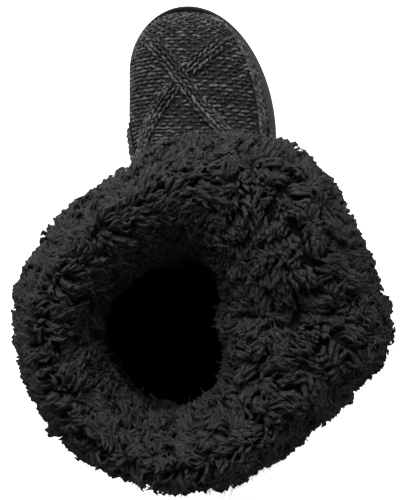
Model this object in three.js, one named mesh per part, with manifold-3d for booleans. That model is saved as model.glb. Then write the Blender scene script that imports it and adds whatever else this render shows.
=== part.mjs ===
// A knitted winter boot for the right foot: a cable-knit upper on a rubber cup sole, with a deep
// sherpa cuff turned down over the top of the shaft.
// Millimetres, +Z up, +Y towards the toe, +X towards the outer side of the foot.
// The origin is on the floor under the middle of the heel.
// A station is a distance along the foot, counted forward from the back edge of the sole.

import * as THREE from "three";
import { mergeVertices } from "three/addons/utils/BufferGeometryUtils.js";
import Module from "manifold-3d";

const wasm = await Module();
wasm.setup();

// Driving dimensions of the foot
const SOLE_LENGTH = 262;
const HEEL_SET_BACK = 40;
const BALL_STATION = 182;
const TIP_X = -9;
const BALL_AXIS = -16;
const TOE_SPRING = 7;
const TOE_BREAK_STATION = 215;
const ARCH_RISE = 4;
const ARCH_FROM = 88;
const ARCH_TO = 146;

// Sole edge on each side of the foot: its reach from the long axis at heel, waist and ball
const INNER_EDGE = { sign: -1, heel: 35, heelArc: 40, waist: 31, ball: 49, ballStation: 190, toeArc: 43 };
const OUTER_EDGE = { sign: 1, heel: 37, heelArc: 40, waist: 39, ball: 51.5, ballStation: 172, toeArc: 90 };
const WAIST_STATION = 104;

// Cup sole
const SOLE_TOP = 10;
const SOLE_COLUMNS = 22;
const SOLE_SIDE = [
  { height: 0, inset: 3.4 },
  { height: 4.2, inset: 1.5 },
  { height: 4.8, inset: 2.4 },
  { height: 6.0, inset: 2.4 },
  { height: 6.6, inset: 0.7 },
  { height: 11, inset: 0 },
  { height: 15.5, inset: 0.5 },
];
const TREAD = { depth: 2.6, width: 4.2, chevron: 7, reach: 70 };
const TREAD_STATIONS = [14, 26, 50, 64, 154, 168, 182, 196, 210, 224, 238];

// Knitted upper: wall, cable relief, and how the knit is divided
const WALL = 3;
const GAP = 0.3;
const EDGE_INSET = { inner: 1.2, outer: 5.4, tip: 3 };
const BASE_HEIGHT = 2;
const TOE_BOX = { height: 40, run: 40, roundness: 2.4, slope: 0.22 };
const TOE_ANGLES = [8, 20, 32, 45, 58, 74, 90];
const HALF_COLUMNS = 24;
const LATTICE = { columns: 16, firstCross: 20, firstCourse: 12, fadeLow: 23, fadeHigh: 186, fadeRun: 6 };
const ROPE_HEIGHTS = [3, 1.7];
const COURSE_RATIOS = [
  { position: 0, ratio: 1.8 },
  { position: 2.2, ratio: 0.86 },
  { position: 4, ratio: 0.86 },
  { position: 5, ratio: 1.25 },
  { position: 10, ratio: 1.5 },
  { position: 13.3, ratio: 1.5 },
  { position: 13.5, ratio: 4 },
];
const INSIDE_POSITIONS = [0, 1, 2, 3, 4, 5, 6, 7, 8, 8.5, 9, 9.5, 10, 10.5, 11, 12, 13, 14.5, 16];

// Sections of the last behind the ball, each in a plane through a front point and a back point.
// The planes fan round the ankle from upright to level.
const LAST = [
  { front: [158, 70], back: [140, 2], inner: 43, outer: 45, axis: -15, widest: 0.38, crown: 2.2, base: 4 },
  { front: [143, 85], back: [92, 2], inner: 39, outer: 41, axis: -11, widest: 0.44, crown: 2.2, base: 3.2 },
  { front: [134, 101], back: [40, 3], inner: 40, outer: 41, axis: -6, widest: 0.5, crown: 2.1, base: 2.6 },
  { front: [129.5, 117], back: [10, 13], inner: 43, outer: 43, axis: -2, widest: 0.5, crown: 2, base: 2.15 },
  { front: [127.5, 134], back: [3, 48], inner: 46, outer: 46, axis: 0, widest: 0.5, crown: 2, base: 2 },
  { front: [126.5, 153], back: [8, 92], inner: 50, outer: 50, axis: 0, widest: 0.5, crown: 2, base: 2 },
  { front: [126.5, 174], back: [11, 133], inner: 53.5, outer: 53.5, axis: 0, widest: 0.5, crown: 2, base: 2 },
  { front: [127, 203], back: [11, 184], inner: 56.5, outer: 56.5, axis: 0, widest: 0.5, crown: 2, base: 2 },
  { front: [127, 233], back: [11, 227], inner: 57.5, outer: 57.5, axis: 0, widest: 0.5, crown: 2, base: 2 },
  { front: [127, 262], back: [11, 262], inner: 57.5, outer: 57.5, axis: 0, widest: 0.5, crown: 2, base: 2 },
];
const COLLAR_HEIGHT = 262;
const SHAFT_STATION = 69;

// Insole
const INSOLE_THICKNESS = 3.5;

// Sherpa cuff: outline by bearing (degrees from +X towards the toe) and section by height
const CUFF_OUTLINE = [
  { bearing: -8, reach: 88.5 },
  { bearing: 25, reach: 82 },
  { bearing: 60, reach: 88.5 },
  { bearing: 95, reach: 82.5 },
  { bearing: 122, reach: 75.5 },
  { bearing: 150, reach: 79.5 },
  { bearing: 176, reach: 87 },
  { bearing: 215, reach: 86.5 },
  { bearing: 262, reach: 82 },
  { bearing: 312, reach: 74.5 },
  { bearing: 335, reach: 79.5 },
];
const CUFF = { hem: 186, top: 279, lockReach: 8.5, bearings: 32 };
const MOUTH = { x: -12, y: -4, wide: 27, long: 36 };
const CUFF_CREASE = { bearing: 6, depth: 9, spread: 15 };
const LOCK = { girth: 12.5, flatness: 0.6, sunk: 8 };
const OUTER_LOCKS = [
  { place: 0.6, count: 13, length: 30, droop: 1.6 },
  { place: 1.7, count: 13, length: 33, droop: 1.9 },
  { place: 2.8, count: 13, length: 33, droop: 1.9 },
  { place: 3.9, count: 10, length: 30, droop: 1.7 },
];
const CREST_LOCKS = [
  { place: 4.85, count: 8, length: 24, droop: 0.9 },
  { place: 6.3, count: 6, length: 26, droop: -1.7 },
];

// Colours from the photograph: black marl yarn, black pile, black rubber, dark inside
const KNIT = { color: 0x35353a, roughness: 0.92, metalness: 0 };
const PILE = { color: 0x242428, roughness: 0.97, metalness: 0 };
const RUBBER = { color: 0x1d1d1f, roughness: 0.55, metalness: 0 };
const SOCK = { color: 0x141416, roughness: 0.95, metalness: 0 };

const radians = THREE.MathUtils.degToRad;
const mix = THREE.MathUtils.lerp;
const ease = (value) => THREE.MathUtils.smoothstep(value, 0, 1);

// How far the underside of the foot is lifted towards the toe, and under the arch
function toeLift(station) {
  const past = Math.max(0, station - TOE_BREAK_STATION) / (SOLE_LENGTH - TOE_BREAK_STATION);
  return TOE_SPRING * past * past;
}

function archLift(station) {
  const share = THREE.MathUtils.clamp((station - ARCH_FROM) / (ARCH_TO - ARCH_FROM), 0, 1);
  return ARCH_RISE * Math.sin(Math.PI * share) ** 2;
}

// The sole's edge at a station: an elliptical heel, an eased waist and ball, and an elliptical toe
function soleEdge(edge, station, inset, endInset) {
  const toeStart = SOLE_LENGTH - edge.toeArc;
  const ball = edge.sign * (edge.ball - inset);
  if (station > toeStart) {
    const share = Math.min(1, (station - toeStart) / (edge.toeArc - endInset));
    return TIP_X + (ball - TIP_X) * Math.sqrt(1 - share * share);
  }
  const heel = edge.sign * (edge.heel - inset);
  if (station < edge.heelArc) {
    const share = Math.min(1, (edge.heelArc - station) / (edge.heelArc - endInset));
    return heel * Math.sqrt(1 - share * share);
  }
  const waist = edge.sign * (edge.waist - inset);
  if (station < WAIST_STATION) {
    return mix(heel, waist, ease((station - edge.heelArc) / (WAIST_STATION - edge.heelArc)));
  }
  return mix(waist, ball, ease((station - WAIST_STATION) / (edge.ballStation - WAIST_STATION)));
}

// A closed mesh over rings of points, each end closed by a fan. The two triangles of a cell
// meet along its higher diagonal, so that a ridge stays a ridge.
function skin(rings, heightOf = () => 0) {
  const count = rings[0].length;
  const points = rings.flat();
  const middle = (ring) => ring.reduce((sum, p) => sum.add(p), new THREE.Vector3()).divideScalar(count);
  points.push(middle(rings[0]), middle(rings.at(-1)));
  const index = [];
  for (let i = 0; i + 1 < rings.length; i++) {
    for (let j = 0; j < count; j++) {
      const next = (j + 1) % count;
      const [a, b] = [i * count + j, i * count + next];
      const [c, d] = [a + count, b + count];
      const falling = heightOf(i, j) + heightOf(i + 1, next) >= heightOf(i + 1, j) + heightOf(i, next);
      if (falling) index.push(a, d, b, a, c, d);
      else index.push(a, c, b, b, c, d);
    }
  }
  const last = (rings.length - 1) * count;
  for (let j = 0; j < count; j++) {
    const next = (j + 1) % count;
    index.push(points.length - 2, j, next);
    index.push(points.length - 1, last + next, last + j);
  }
  return new THREE.BufferGeometry().setFromPoints(points).setIndex(index);
}

// Solids for cutting and joining, and back again
function solid(geometry) {
  const bare = geometry.clone();
  bare.deleteAttribute("normal");
  bare.deleteAttribute("uv");
  const merged = mergeVertices(bare, 1e-4);
  const mesh = { numProp: 3, vertProperties: merged.attributes.position.array };
  return new wasm.Manifold(new wasm.Mesh({ ...mesh, triVerts: new Uint32Array(merged.index.array) }));
}

function geometryOf(manifold) {
  const made = manifold.getMesh();
  const geometry = new THREE.BufferGeometry();
  geometry.setAttribute("position", new THREE.BufferAttribute(made.vertProperties, 3));
  geometry.setIndex(new THREE.BufferAttribute(made.triVerts, 1));
  return geometry;
}

function piece(name, manifold, finish) {
  const mesh = new THREE.Mesh(geometryOf(manifold), new THREE.MeshStandardMaterial(finish));
  mesh.name = name;
  return mesh;
}

// A block below or between curves that follow the lifted underside of the foot
function underfootBlock(lowOf, highOf) {
  const stations = Array.from({ length: 17 }, (_, k) => -20 + k * 20);
  const outline = stations.map((s) => new THREE.Vector2(s - HEEL_SET_BACK, highOf(s)));
  const under = stations.map((s) => new THREE.Vector2(s - HEEL_SET_BACK, lowOf(s))).reverse();
  const half = 100;
  const block = new THREE.ExtrudeGeometry(new THREE.Shape([...outline, ...under]), {
    depth: 2 * half,
    bevelEnabled: false,
  });
  // The shape's own axes become Y and Z, and its depth runs across the foot.
  block.applyMatrix4(new THREE.Matrix4().set(0, 0, 1, -half, 1, 0, 0, 0, 0, 1, 0, 0, 0, 0, 0, 1));
  return solid(block);
}

// Sections of the last from the toe to the collar, as rows of plain numbers
function toeSection(angle) {
  const tip = SOLE_LENGTH - EDGE_INSET.tip;
  const behind = (tip - BALL_STATION) * (1 - Math.cos(radians(angle)));
  const station = tip - behind;
  const dome = 1 - Math.min(1, behind / TOE_BOX.run);
  const crown = (1 - dome ** TOE_BOX.roundness) ** (1 / TOE_BOX.roundness);
  const low = BASE_HEIGHT + toeLift(station);
  return {
    front: [station, low + TOE_BOX.height * crown + TOE_BOX.slope * behind],
    back: [station, low],
    inner: -soleEdge(INNER_EDGE, station, EDGE_INSET.inner, EDGE_INSET.tip),
    outer: soleEdge(OUTER_EDGE, station, EDGE_INSET.outer, EDGE_INSET.tip),
    axis: mix(TIP_X, BALL_AXIS, behind / (tip - BALL_STATION)),
    widest: 0.36,
    crown: 2.2,
    base: 4.5,
  };
}

const sections = [...TOE_ANGLES.map(toeSection), ...LAST].map((s) => [
  ...s.front,
  ...s.back,
  s.inner,
  s.outer,
  s.axis,
  s.widest,
  s.crown,
  s.base,
]);

function sectionAt(position) {
  const k = Math.min(sections.length - 2, Math.floor(position));
  const t = position - k;
  const rowAt = (r) => sections[THREE.MathUtils.clamp(r, 0, sections.length - 1)];
  const [p, a, b, n] = [k - 1, k, k + 1, k + 2].map(rowAt);
  return a.map((_, c) => {
    const slopeA = (b[c] - p[c]) / 2;
    const slopeB = (n[c] - a[c]) / 2;
    const bend = 2 * a[c] - 2 * b[c] + slopeA + slopeB;
    const rise = 3 * b[c] - 3 * a[c] - 2 * slopeA - slopeB;
    return ((bend * t + rise) * t + slopeA) * t + a[c];
  });
}

// One half of a section, from its front down its side to its back, at even steps along its length
function halfSection(row, sign, steps) {
  const [frontS, frontZ, backS, backZ, inner, outer, axis, widest, crown, base] = row;
  const reach = (sign < 0 ? -inner : outer) - axis;
  const fine = [];
  for (let k = 0; k <= 80; k++) {
    const turn = (Math.PI * k) / 80;
    const upper = turn < Math.PI / 2;
    const power = 2 / (upper ? crown : base);
    const along = Math.abs(Math.cos(turn)) ** power;
    const share = upper ? widest + (1 - widest) * along : widest * (1 - along);
    const x = axis + reach * Math.abs(Math.sin(turn)) ** power;
    fine.push(new THREE.Vector3(x, mix(backS, frontS, share) - HEEL_SET_BACK, mix(backZ, frontZ, share)));
  }
  const run = [0];
  for (let k = 1; k < fine.length; k++) run.push(run[k - 1] + fine[k].distanceTo(fine[k - 1]));
  return Array.from({ length: steps + 1 }, (_, step) => {
    const target = (run.at(-1) * step) / steps;
    const k = Math.max(1, run.findIndex((length) => length >= target - 1e-9));
    const t = (target - run[k - 1]) / (run[k] - run[k - 1]);
    return fine[k - 1].clone().lerp(fine[k], t);
  });
}

// A whole ring: the outer side first, from the front to the back, and then the inner side
function ringAt(position, halfColumns) {
  const row = sectionAt(position);
  const outer = halfSection(row, 1, halfColumns);
  const inner = halfSection(row, -1, halfColumns);
  return [...outer, ...inner.slice(1, -1).reverse()];
}

// Positions of the knit's courses, spaced in step with the width of a column over the vamp and front
function coursePositions() {
  const fineStep = 0.02;
  const ratioAt = (position) => {
    const k = Math.max(0, COURSE_RATIOS.findLastIndex((row) => row.position <= position));
    const [a, b] = [COURSE_RATIOS[k], COURSE_RATIOS[k + 1] ?? COURSE_RATIOS[k]];
    return mix(a.ratio, b.ratio, (position - a.position) / (b.position - a.position || 1));
  };
  const wide = HALF_COLUMNS / 2;
  const found = [0];
  let course = 0;
  let before = ringAt(0, HALF_COLUMNS);
  for (let position = fineStep; position <= sections.length - 1; position += fineStep) {
    const ring = ringAt(position, HALF_COLUMNS);
    let moved = 0;
    for (let j = -wide; j <= wide; j++) moved += ring.at(j).distanceTo(before.at(j));
    const column = ring[0].distanceTo(ring[1]);
    course += moved / (2 * wide + 1) / (column * ratioAt(position));
    if (course >= found.length) found.push(position);
    before = ring;
  }
  found[found.length - 1] = sections.length - 1;
  return found;
}

const courses = coursePositions();

// A ring's points moved along the surface's normals, with the cables raised where they run
function offsetRing(position, halfColumns, offset, raiseOf = () => 0) {
  const probe = 0.01;
  const ring = ringAt(position, halfColumns);
  const ahead = ringAt(Math.min(sections.length - 1, position + probe), halfColumns);
  const behind = ringAt(Math.max(0, position - probe), halfColumns);
  const count = ring.length;
  return ring.map((point, j) => {
    const round = ring[(j + 1) % count].clone().sub(ring[(j - 1 + count) % count]);
    const along = ahead[j].clone().sub(behind[j]);
    const normal = along.cross(round).normalize();
    return point.clone().addScaledVector(normal, offset + raiseOf(point, j));
  });
}

// Height of the cable lattice: two families of ropes that run along the diagonals of the knit
function cableRaise(course, column, height) {
  const side = column > HALF_COLUMNS ? column - 2 * HALF_COLUMNS : column;
  const ropes = [course + side, course - side].map((phase) => {
    const past = THREE.MathUtils.euclideanModulo(phase - LATTICE.firstCross, LATTICE.columns);
    return ROPE_HEIGHTS[Math.min(past, LATTICE.columns - past)] ?? 0;
  });
  const low = ease((height - LATTICE.fadeLow) / LATTICE.fadeRun);
  const high = ease((LATTICE.fadeHigh - height) / LATTICE.fadeRun);
  const begun = ease((course - LATTICE.firstCourse) / 3);
  return Math.max(...ropes) * low * high * begun;
}

// The last as a solid: its knitted outside on every course, grown by a gap, with its top at a height
function lastOutside(offset, top) {
  const rings = courses.map((position, i) =>
    offsetRing(position, HALF_COLUMNS, offset, (point, j) => cableRaise(i, j, point.z)),
  );
  rings[0].forEach((point) => (point.y += offset));
  rings.at(-1).forEach((point) => (point.z = top));
  return solid(skin(rings, (i, j) => cableRaise(i, j, LATTICE.fadeHigh / 2)));
}

// Its smooth inside, a wall's thickness or more within
function lastInside(depth, top) {
  const rings = INSIDE_POSITIONS.map((position) => offsetRing(position, HALF_COLUMNS / 2, -depth));
  rings[0].forEach((point) => (point.y -= depth));
  rings.at(-1).forEach((point) => (point.z = top));
  return solid(skin(rings));
}

// Upper: the last's outside less its inside, open at the collar and underneath
function makeUpper() {
  const outside = lastOutside(0, COLLAR_HEIGHT);
  const inside = lastInside(WALL, COLLAR_HEIGHT + 6);
  const below = underfootBlock(() => -30, (s) => SOLE_TOP + GAP + toeLift(s));
  return outside.subtract(inside).subtract(below);
}

// Insole: what lies inside the upper's wall just above the sole
function makeInsole() {
  const inside = lastInside(WALL + GAP, COLLAR_HEIGHT);
  const low = (s) => SOLE_TOP + GAP + toeLift(s);
  return inside.intersect(underfootBlock(low, (s) => low(s) + INSOLE_THICKNESS));
}

// Outsole: rings of the sole's outline up its stepped side, closed above and below by rungs across
function soleRing({ height, inset }) {
  const side = (edge) =>
    Array.from({ length: SOLE_COLUMNS + 1 }, (_, k) => {
      const share = (1 - Math.cos((Math.PI * k) / SOLE_COLUMNS)) / 2;
      const station = mix(inset, SOLE_LENGTH - inset, share);
      const z = height + toeLift(station) + (height < SOLE_TOP / 2 ? archLift(station) : 0);
      return new THREE.Vector3(soleEdge(edge, station, inset, inset), station - HEEL_SET_BACK, z);
    });
  return [...side(OUTER_EDGE), ...side(INNER_EDGE).slice(1, -1).reverse()];
}

function rungs(count, first, flip) {
  const index = [];
  for (let k = 0; k < count / 2; k++) {
    const [a, b] = [k, k + 1];
    const [c, d] = [(count - k) % count, count - k - 1];
    const faces = [
      [a, b, d],
      [a, d, c],
    ].filter((face) => new Set(face).size === 3);
    faces.forEach(([p, q, r]) => index.push(first + p, first + (flip ? r : q), first + (flip ? q : r)));
  }
  return index;
}

function makeOutsole() {
  const rings = SOLE_SIDE.map(soleRing);
  const count = rings[0].length;
  const index = [];
  for (let i = 0; i + 1 < rings.length; i++) {
    for (let j = 0; j < count; j++) {
      const next = (j + 1) % count;
      const [a, b, c, d] = [i * count + j, i * count + next, (i + 1) * count + j, (i + 1) * count + next];
      index.push(a, b, d, a, d, c);
    }
  }
  index.push(...rungs(count, 0, true), ...rungs(count, (rings.length - 1) * count, false));
  const block = new THREE.BufferGeometry().setFromPoints(rings.flat()).setIndex(index);
  const seat = underfootBlock((s) => SOLE_TOP + toeLift(s), () => 120);
  const recess = lastOutside(GAP, COLLAR_HEIGHT).intersect(seat);
  let made = solid(block).subtract(recess);
  TREAD_STATIONS.forEach((station) => {
    made = made.subtract(treadGroove(station));
  });
  return made;
}

// One chevron groove of the tread, pointing to the toe
function treadGroove(station) {
  const { depth, width, chevron, reach } = TREAD;
  const line = [
    [-reach, -chevron],
    [0, chevron],
    [reach, -chevron],
  ];
  const front = line.map(([x, y]) => new THREE.Vector2(x, y + width / 2));
  const back = line.map(([x, y]) => new THREE.Vector2(x, y - width / 2)).reverse();
  const below = 10;
  const groove = new THREE.ExtrudeGeometry(new THREE.Shape([...back, ...front].reverse()), {
    depth: below + depth + toeLift(station),
    bevelEnabled: false,
  });
  groove.translate(0, station - HEEL_SET_BACK, -below);
  return solid(groove);
}

// Cuff outline and mouth as reaches from the shaft's axis
function cuffReach(bearing) {
  const rows = CUFF_OUTLINE;
  const turned = THREE.MathUtils.euclideanModulo(bearing - rows[0].bearing, 360) + rows[0].bearing;
  const k = rows.findLastIndex((row) => row.bearing <= turned);
  const next = rows[(k + 1) % rows.length];
  const span = THREE.MathUtils.euclideanModulo(next.bearing - rows[k].bearing, 360);
  return mix(rows[k].reach, next.reach, ease((turned - rows[k].bearing) / span));
}

function mouthReach(bearing) {
  const [c, s] = [Math.cos(radians(bearing)), Math.sin(radians(bearing))];
  const { x, y, wide, long } = MOUTH;
  const a = (c / wide) ** 2 + (s / long) ** 2;
  const b = (c * x) / wide ** 2 + (s * y) / long ** 2;
  const e = (x / wide) ** 2 + (y / long) ** 2 - 1;
  return (b + Math.sqrt(b * b - a * e)) / a;
}

function creaseDip(bearing) {
  const away = THREE.MathUtils.euclideanModulo(bearing - CUFF_CREASE.bearing + 180, 360) - 180;
  return CUFF_CREASE.depth * Math.exp(-((away / CUFF_CREASE.spread) ** 2));
}

// The cuff's section at a bearing, as reach and height: up the outside, over the crest, down the mouth
function cuffSection(bearing) {
  const outside = cuffReach(bearing) - CUFF.lockReach;
  const mouth = mouthReach(bearing);
  const { hem, top } = CUFF;
  const dip = creaseDip(bearing);
  const inWall = SHAFT_STATION - 11 - WALL / 2;
  return [
    [outside - 12, hem],
    [outside - 2, hem + 10],
    [outside, hem + 36],
    [outside - 4, hem + 64 - dip * 0.4],
    [outside - 14, hem + 84 - dip * 0.8],
    [mix(mouth, outside, 0.52), top - dip],
    [mouth + 9, top - 9 - dip * 0.8],
    [mouth, top - 30],
    [mouth + 5, top - 56],
    [inWall - 8, top - 74],
    [inWall, top - 76],
    [inWall, hem + 5],
  ];
}

function cuffPoint(bearing, reach, height) {
  const turn = radians(bearing);
  const middle = SHAFT_STATION - HEEL_SET_BACK;
  return new THREE.Vector3(reach * Math.cos(turn), middle + reach * Math.sin(turn), height);
}

function cuffBody() {
  const { bearings } = CUFF;
  const rings = Array.from({ length: bearings }, (_, k) => {
    const bearing = (360 * k) / bearings;
    return cuffSection(bearing).map(([reach, height]) => cuffPoint(bearing, reach, height));
  });
  const count = rings[0].length;
  const index = [];
  for (let i = 0; i < bearings; i++) {
    for (let j = 0; j < count; j++) {
      const [next, over] = [((i + 1) % bearings) * count, (j + 1) % count];
      const [a, b, c, d] = [i * count + j, i * count + over, next + j, next + over];
      index.push(a, c, d, a, d, b);
    }
  }
  return solid(new THREE.BufferGeometry().setFromPoints(rings.flat()).setIndex(index));
}

// One lock of pile: a flattened drop that leans out of the cuff and droops along it
function lockAt(bearing, place, length, droop) {
  const low = Math.floor(place);
  const section = cuffSection(bearing);
  const [a, b] = [section[low], section[low + 1]];
  const root = cuffPoint(bearing, mix(a[0], b[0], place - low), mix(a[1], b[1], place - low));
  const along = cuffPoint(bearing, ...b).sub(cuffPoint(bearing, ...a)).normalize();
  const round = cuffPoint(bearing + 1, ...a).sub(cuffPoint(bearing - 1, ...a)).normalize();
  const out = round.clone().cross(along).normalize();
  const way = out.clone().addScaledVector(along, -droop).normalize();
  const face = round.clone().cross(way).normalize();
  const { girth, flatness, sunk } = LOCK;
  const profile = [
    [0, -sunk],
    [girth, 1],
    [girth * 0.88, length * 0.42],
    [0, length - sunk],
  ].map(([r, h]) => new THREE.Vector2(r, h));
  const lock = new THREE.LatheGeometry(profile, 4);
  lock.scale(1, 1, flatness);
  lock.applyMatrix4(new THREE.Matrix4().makeBasis(round, way, face));
  lock.translate(root.x, root.y, root.z);
  return solid(lock);
}

// Rows of locks round the cuff, each a little out of step and of its own length
function locksIn(rows) {
  const locks = rows.flatMap(({ place, count, length, droop }, row) =>
    Array.from({ length: count }, (_, k) => {
      const bearing = (360 * (k + (row % 2) / 2 + 0.2 * Math.sin(7.1 * k + row))) / count;
      const own = length * (1 + 0.18 * Math.sin(3.7 * k + row));
      return lockAt(bearing, place + 0.2 * Math.sin(4.3 * k + 2 * row), own, droop);
    }),
  );
  return locks.reduce((sum, lock) => sum.add(lock));
}

// Cuff: a folded ring of pile with a slot underneath for the top of the shaft
function makeCuff() {
  const top = COLLAR_HEIGHT + GAP;
  const shaft = lastOutside(GAP, top);
  const cavity = lastInside(WALL + GAP, top);
  const outerLocks = locksIn(OUTER_LOCKS).subtract(shaft);
  const pile = cuffBody().add(outerLocks).add(locksIn(CREST_LOCKS));
  return pile.subtract(shaft.subtract(cavity));
}

const boot = new THREE.Group();
boot.add(
  piece("outsole", makeOutsole(), RUBBER),
  piece("insole", makeInsole(), SOCK),
  piece("upper", makeUpper(), KNIT),
  piece("cuff", makeCuff(), PILE),
);

export default boot;
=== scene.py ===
import math
import bmesh
import bpy
import numpy as np
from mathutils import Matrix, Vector
from mathutils.kdtree import KDTree


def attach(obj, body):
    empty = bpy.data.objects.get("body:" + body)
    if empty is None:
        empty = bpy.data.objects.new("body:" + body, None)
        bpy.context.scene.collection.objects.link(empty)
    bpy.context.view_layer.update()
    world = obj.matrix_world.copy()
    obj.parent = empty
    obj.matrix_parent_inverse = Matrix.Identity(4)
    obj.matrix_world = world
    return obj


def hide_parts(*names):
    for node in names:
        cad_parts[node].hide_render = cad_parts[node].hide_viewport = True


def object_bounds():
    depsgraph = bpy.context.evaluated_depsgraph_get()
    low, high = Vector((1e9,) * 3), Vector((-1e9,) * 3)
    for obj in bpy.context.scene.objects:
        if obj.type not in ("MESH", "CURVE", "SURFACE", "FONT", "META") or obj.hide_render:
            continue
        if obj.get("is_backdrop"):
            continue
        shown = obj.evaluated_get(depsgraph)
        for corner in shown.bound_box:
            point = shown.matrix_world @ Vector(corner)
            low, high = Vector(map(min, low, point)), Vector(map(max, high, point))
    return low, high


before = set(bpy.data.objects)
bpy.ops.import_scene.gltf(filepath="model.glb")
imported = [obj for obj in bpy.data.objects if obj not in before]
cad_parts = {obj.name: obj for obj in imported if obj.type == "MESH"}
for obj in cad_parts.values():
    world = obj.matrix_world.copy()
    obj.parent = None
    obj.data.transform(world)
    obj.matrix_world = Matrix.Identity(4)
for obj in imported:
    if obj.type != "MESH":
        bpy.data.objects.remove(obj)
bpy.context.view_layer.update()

# Camera and stage: the boot stands on a white floor and is seen from straight above, toe up.
# A broad soft lamp on the toe's side lights it, with a weak one at the heel and an even pale surround.
# Sizes are in millimetres until a mesh or an object is made, and MM turns them into metres.
MM = 0.001
CAMERA_ALONG = 57.4
CAMERA_HEIGHT = 640
FOCAL_LENGTH_PX = 919
FRAME_HEIGHT_PX = 500
SENSOR = 36
SURROUND_STRENGTH = 0.25
FLOOR_REACH = 6000
FLOOR_GLOW = 0.7

scene = bpy.context.scene
camera_data = bpy.data.cameras.new("camera")
camera_data.sensor_width = SENSOR
camera_data.lens = SENSOR * FOCAL_LENGTH_PX / FRAME_HEIGHT_PX
camera = bpy.data.objects.new("camera", camera_data)
camera.location = (0, CAMERA_ALONG * MM, CAMERA_HEIGHT * MM)
scene.collection.objects.link(camera)
scene.camera = camera
scene.view_settings.view_transform = "Standard"


class Shade:
    """A socket of a material's nodes, with Python's operators on its value."""

    def __init__(self, tree, socket):
        self.tree = tree
        self.socket = socket

    def node(self, kind, settings=None, output=0, **sockets):
        """Adds a node: its settings, then its sockets, by name with _ for a space, or by _ and number."""
        made = self.tree.nodes.new(kind)
        for key, value in (settings or {}).items():
            setattr(made, key, value)
        for key, value in sockets.items():
            place = int(key[1:]) if key[0] == "_" else key.replace("_", " ")
            if isinstance(value, Shade):
                self.tree.links.new(value.socket, made.inputs[place])
            else:
                made.inputs[place].default_value = value
        return Shade(self.tree, made.outputs[output])

    def math(self, operation, *values):
        sockets = {f"_{place}": value for place, value in enumerate(values)}
        return self.node("ShaderNodeMath", {"operation": operation}, **sockets)

    def __add__(self, other):
        return self.math("ADD", self, other)

    def __radd__(self, other):
        return self.math("ADD", other, self)

    def __sub__(self, other):
        return self.math("SUBTRACT", self, other)

    def __rsub__(self, other):
        return self.math("SUBTRACT", other, self)

    def __mul__(self, other):
        return self.math("MULTIPLY", self, other)

    def __rmul__(self, other):
        return self.math("MULTIPLY", other, self)

    def mixed(self, low, high):
        """A colour from low to high, by this value."""
        sockets = {"_0": self, "_6": low, "_7": high}
        return self.node("ShaderNodeMix", {"data_type": "RGBA"}, output=2, **sockets)

    def bump(self, strength, distance):
        """A normal that rises and falls with this value."""
        return self.node("ShaderNodeBump", Height=self, Strength=strength, Distance=distance)

    def attribute(self, name, output="Fac"):
        """What a piece's mesh says of each of its points."""
        return self.node("ShaderNodeAttribute", {"attribute_name": name}, output=output)


def new_material(name, **constants):
    """A material, its surface shader and its Object coordinates. Constants go on the shader's sockets."""
    material = bpy.data.materials.new(name)
    material.use_nodes = True
    tree = material.node_tree
    surface = tree.nodes["Principled BSDF"]
    for key, value in constants.items():
        surface.inputs[key.replace("_", " ")].default_value = value
    coordinates = tree.nodes.new("ShaderNodeTexCoord")
    return material, surface, Shade(tree, coordinates.outputs["Object"])


def feed(surface, **shades):
    for key, shade in shades.items():
        shade.tree.links.new(shade.socket, surface.inputs[key.replace("_", " ")])


def noise(spot, scale, **sockets):
    return spot.node("ShaderNodeTexNoise", Vector=spot, Scale=scale, **sockets)


def linear(red, green, blue):
    """A colour as a screen shows it, 0 to 255, as the shader's linear colour."""
    channels = [c / 255 for c in (red, green, blue)]
    return (*[c / 12.92 if c < 0.04045 else ((c + 0.055) / 1.055) ** 2.4 for c in channels], 1)


def area_lamp(name, place, aim, size, power):
    data = bpy.data.lights.new(name, "AREA")
    data.size = size * MM
    data.energy = power
    lamp = bpy.data.objects.new(name, data)
    lamp.location = Vector(place) * MM
    lamp.rotation_euler = (Vector(aim) - Vector(place)).to_track_quat("-Z", "Y").to_euler()
    scene.collection.objects.link(lamp)


area_lamp("toe_side_lamp", place=(-120, 540, 620), aim=(0, 140, 150), size=500, power=12.5)
area_lamp("heel_side_lamp", place=(350, -300, 1200), aim=(0, 60, 150), size=800, power=1.8)
world = bpy.data.worlds.new("surround")
world.use_nodes = True
world.node_tree.nodes["Background"].inputs["Color"].default_value = (1, 1, 1, 1)
world.node_tree.nodes["Background"].inputs["Strength"].default_value = SURROUND_STRENGTH
scene.world = world

floor_mesh = bpy.data.meshes.new("floor")
bm = bmesh.new()
bmesh.ops.create_grid(bm, x_segments=1, y_segments=1, size=FLOOR_REACH * MM)
bm.to_mesh(floor_mesh)
bm.free()
floor = bpy.data.objects.new("floor", floor_mesh)
scene.collection.objects.link(floor)
floor_paint, floor_surface, spot = new_material(
    "white_floor",
    Roughness=0.8,
    Emission_Color=(1, 1, 1, 1),
    Emission_Strength=FLOOR_GLOW,
)
pale = noise(spot, 3.0).mixed((0.96, 0.96, 0.96, 1), (1, 1, 1, 1))
feed(floor_surface, Base_Color=pale)
floor_mesh.materials.append(floor_paint)
floor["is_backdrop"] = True

# Outsole: a moulded black rubber cup with a stepped side, a raised rim and a chevron tread.
# The upper is lasted into the cup and cemented there, so the rim hides its edge.
# Its toe springs off the floor, and its waist arches over it.
SOLE_LENGTH = 262
HEEL_SET_BACK = 40
TIP_X = -9
TOE_SPRING = 7
TOE_BREAK_STATION = 215
ARCH_RISE = 4
ARCH_FROM = 88
ARCH_TO = 146
WAIST_STATION = 104
INNER_EDGE = {"sign": -1, "heel": 35, "heel_arc": 40, "waist": 31, "ball": 49, "ball_at": 190, "toe_arc": 43}
OUTER_EDGE = {"sign": 1, "heel": 37, "heel_arc": 40, "waist": 39, "ball": 51.5, "ball_at": 172, "toe_arc": 90}
SOLE_TOP = 10
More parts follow.
